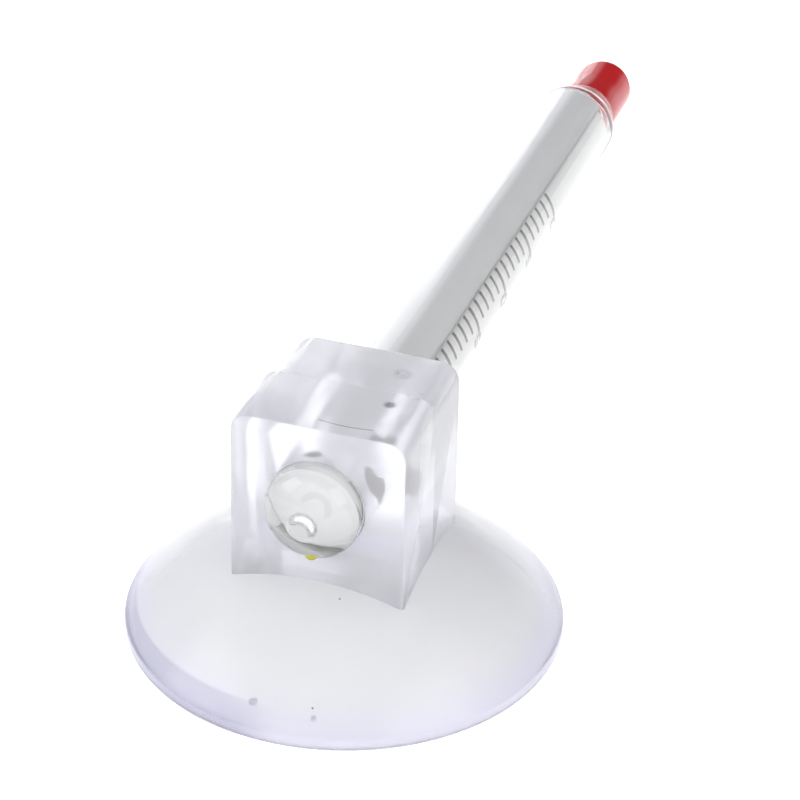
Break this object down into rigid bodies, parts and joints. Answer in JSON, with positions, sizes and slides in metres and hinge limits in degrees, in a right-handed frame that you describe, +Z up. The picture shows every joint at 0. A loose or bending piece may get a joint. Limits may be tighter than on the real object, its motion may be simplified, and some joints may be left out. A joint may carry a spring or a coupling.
{
  "type": "glass thermometer",
  "caption": "Small glass aquarium thermometer with a red spirit bulb, held in the clear block of a suction cup that sticks to a tank wall.",
  "frame": {"origin": "centre of the suction cup's rim, on the plane that the rim rests on", "axes": "+Z up along the suction cup's axis, away from the wall it sticks to; +Y along the thermometer, towards its bulb; +X across it"},
  "size_m": [0.027, 0.0703, 0.0168],
  "materials": {
    "clear_soft_plastic": "gloss",
    "clear_glass": "gloss",
    "red_spirit": "gloss",
    "white_plastic": "satin",
    "scale_paper": "matte",
    "scale_ink": "matte",
    "zone_ink": "matte",
    "yellow_paint": "gloss"
  },
  "bodies": {
    "cup": {"suction_cup_skirt": "clear_soft_plastic"},
    "holder": {"holder_block": "clear_soft_plastic"},
    "thermometer": {"glass_tube": "clear_glass", "bulb_and_capillary": "clear_glass", "spirit_in_bulb": "red_spirit"},
    "scale": {"white_backing": "white_plastic", "scale_sheet": "scale_paper", "short_degree_marks": "scale_ink", "long_degree_marks": "scale_ink", "scale_numerals": "scale_ink", "zone_mark": "zone_ink", "paint_dot": "yellow_paint"},
    "spirit": {"spirit_thread": "red_spirit"}
  },
  "joints": [
    {"name": "cup_press", "type": "slide", "parent": "cup", "child": "holder", "axis": [0, 0, -1], "range_m": [0, 0.003], "stiffness_N_per_m": 1200, "deforming": ["suction_cup_skirt"]},
    {"name": "tube_slide", "type": "slide", "parent": "holder", "child": "thermometer", "axis": [0, 1, 0], "range_m": [-0.04, 0.008]},
    {"name": "scale_turn", "type": "hinge", "parent": "thermometer", "child": "scale", "pos_m": [0, 0, 0.0115], "axis": [0, 1, 0], "continuous": true},
    {"name": "spirit_rise", "type": "slide", "parent": "thermometer", "child": "spirit", "axis": [0, -1, 0], "range_m": [-0.0132, 0.0198], "deforming": ["spirit_thread"]}
  ]
}
